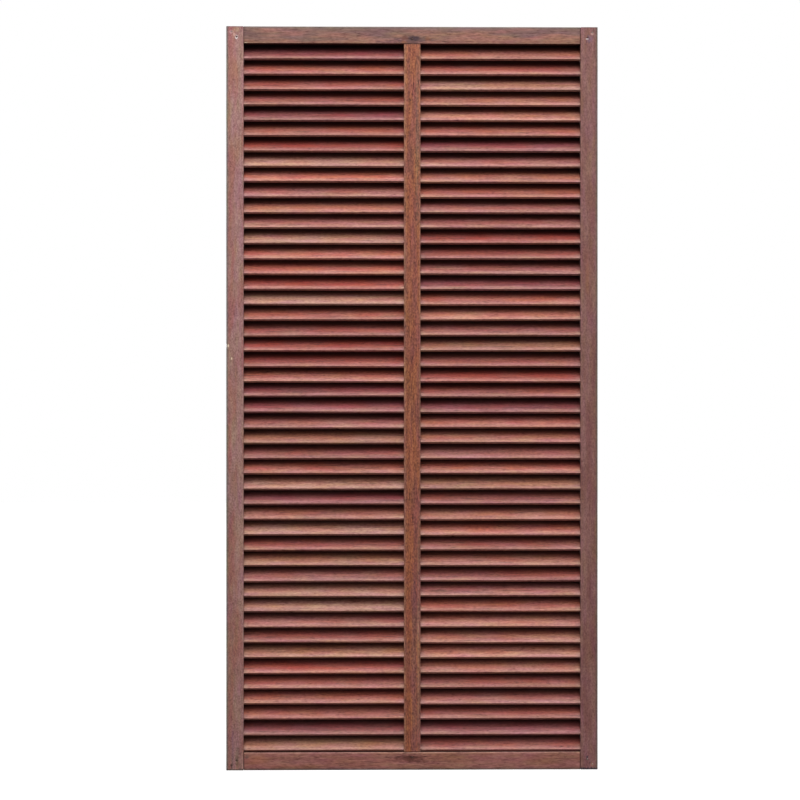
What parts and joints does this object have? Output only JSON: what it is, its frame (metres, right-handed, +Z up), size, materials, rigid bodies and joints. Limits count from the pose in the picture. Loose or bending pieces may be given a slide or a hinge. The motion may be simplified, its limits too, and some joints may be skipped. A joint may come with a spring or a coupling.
{
  "type": "louvred garden screen panel",
  "caption": "Tall hardwood garden screen panel: a pinned mortise-and-tenon frame with a centre mullion between two bays of closely set, fixed sloping louvre slats.",
  "frame": {"origin": "centre of the mullion's back face, at half the panel's height", "axes": "+Z up along the stiles, +Y out of the panel's back, so the front with the louvres' lower arrises faces -Y; +X to the right as seen from the front"},
  "size_m": [0.9, 0.044, 1.8],
  "materials": {
    "stile_left_wood": "oiled hardwood, weathered and matt",
    "stile_right_wood": "oiled hardwood, weathered and matt",
    "rail_top_wood": "oiled hardwood, weathered and matt",
    "rail_bottom_wood": "oiled hardwood, weathered and matt",
    "mullion_wood": "oiled hardwood, weathered and matt",
    "slat_terracotta": "oiled hardwood, weathered and matt",
    "slat_salmon": "oiled hardwood, weathered and matt",
    "slat_dusty_rose": "oiled hardwood, weathered and matt",
    "slat_brick": "oiled hardwood, weathered and matt",
    "slat_tan": "oiled hardwood, weathered and matt",
    "pin_steel": "cut pin end, dulled"
  },
  "bodies": {
    "root": {"stile_left": "stile_left_wood", "stile_right": "stile_right_wood", "rail_top": "rail_top_wood", "rail_bottom": "rail_bottom_wood", "mullion": "mullion_wood", "slat_row_01": "slat_terracotta", "slat_row_02": "slat_brick", "slat_row_03": "slat_terracotta", "slat_row_04": "slat_tan", "slat_row_05": "slat_tan", "slat_row_06": "slat_salmon", "slat_row_07": "slat_tan", "slat_row_08": "slat_salmon", "slat_row_09": "slat_tan", "slat_row_10": "slat_tan", "slat_row_11": "slat_terracotta", "slat_row_12": "slat_terracotta", "slat_row_13": "slat_terracotta", "slat_row_14": "slat_dusty_rose", "slat_row_15": "slat_terracotta", "slat_row_16": "slat_terracotta", "slat_row_17": "slat_salmon", "slat_row_18": "slat_tan", "slat_row_19": "slat_dusty_rose", "slat_row_20": "slat_tan", "slat_row_21": "slat_dusty_rose", "slat_row_22": "slat_terracotta", "slat_row_23": "slat_brick", "slat_row_24": "slat_brick", "slat_row_25": "slat_dusty_rose", "slat_row_26": "slat_salmon", "slat_row_27": "slat_brick", "slat_row_28": "slat_brick", "slat_row_29": "slat_terracotta", "slat_row_30": "slat_brick", "slat_row_31": "slat_tan", "slat_row_32": "slat_tan", "slat_row_33": "slat_terracotta", "slat_row_34": "slat_brick", "slat_row_35": "slat_salmon", "slat_row_36": "slat_dusty_rose", "slat_row_37": "slat_tan", "slat_row_38": "slat_brick", "slat_row_39": "slat_dusty_rose", "slat_row_40": "slat_salmon", "slat_row_41": "slat_terracotta", "slat_row_42": "slat_tan", "slat_row_43": "slat_dusty_rose", "slat_row_44": "slat_terracotta", "slat_row_45": "slat_tan", "slat_row_46": "slat_dusty_rose", "pin_top_left_outer": "pin_steel", "pin_top_left_inner": "pin_steel", "pin_top_right_outer": "pin_steel", "pin_top_right_inner": "pin_steel", "pin_bottom_left_outer": "pin_steel", "pin_bottom_left_inner": "pin_steel", "pin_bottom_right_outer": "pin_steel", "pin_bottom_right_inner": "pin_steel"}
  },
  "joints": []
}
